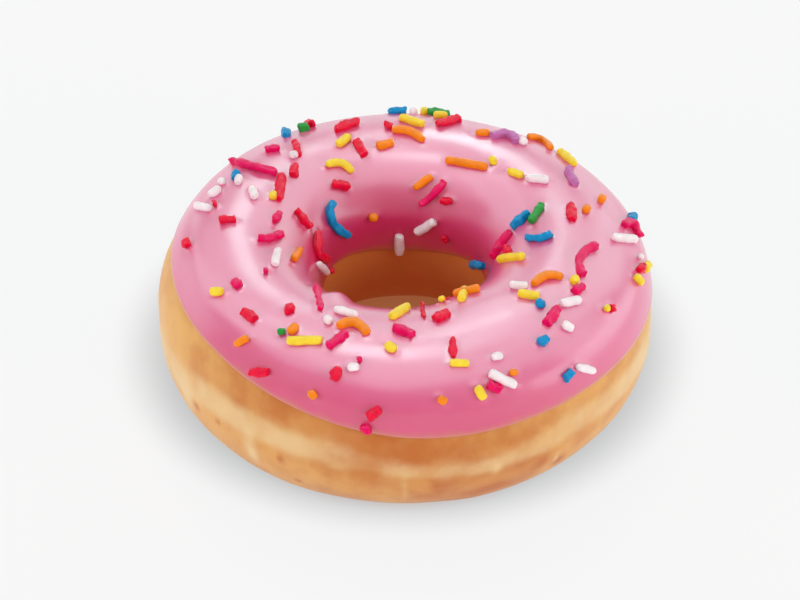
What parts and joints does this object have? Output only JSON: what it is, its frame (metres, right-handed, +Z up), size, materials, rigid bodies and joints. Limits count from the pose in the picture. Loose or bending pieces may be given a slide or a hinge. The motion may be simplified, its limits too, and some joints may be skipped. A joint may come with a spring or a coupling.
{
  "type": "sprinkle frosted ring doughnut",
  "caption": "Fried ring doughnut with a flat rest below, smooth pink icing with an uneven edge over its top and sugar sprinkles set in the icing, open hole in the middle.",
  "frame": {"origin": "on the resting plane, under the middle of the whole doughnut's box", "axes": "+Z up through the hole, square to the flat underside; -Y towards the side where the icing comes down furthest, +X to the right seen from there"},
  "size_m": [0.0896, 0.0902, 0.0359],
  "materials": {
    "dough": "fried dough, golden brown with a paler band round the middle, soft dry sheen",
    "icing": "smooth pink sugar icing, glossy, slightly translucent at the edge",
    "sprinkle_red": "red sugar sprinkle, waxy semi-gloss",
    "sprinkle_pink": "pink sugar sprinkle, waxy semi-gloss",
    "sprinkle_orange": "orange sugar sprinkle, waxy semi-gloss",
    "sprinkle_yellow": "yellow sugar sprinkle, waxy semi-gloss",
    "sprinkle_white": "white sugar sprinkle, waxy semi-gloss",
    "sprinkle_blue": "blue sugar sprinkle, waxy semi-gloss",
    "sprinkle_green": "green sugar sprinkle, waxy semi-gloss",
    "sprinkle_purple": "purple sugar sprinkle, waxy semi-gloss"
  },
  "bodies": {
    "root": {"dough": "dough", "icing": "icing"}
  },
  "joints": []
}
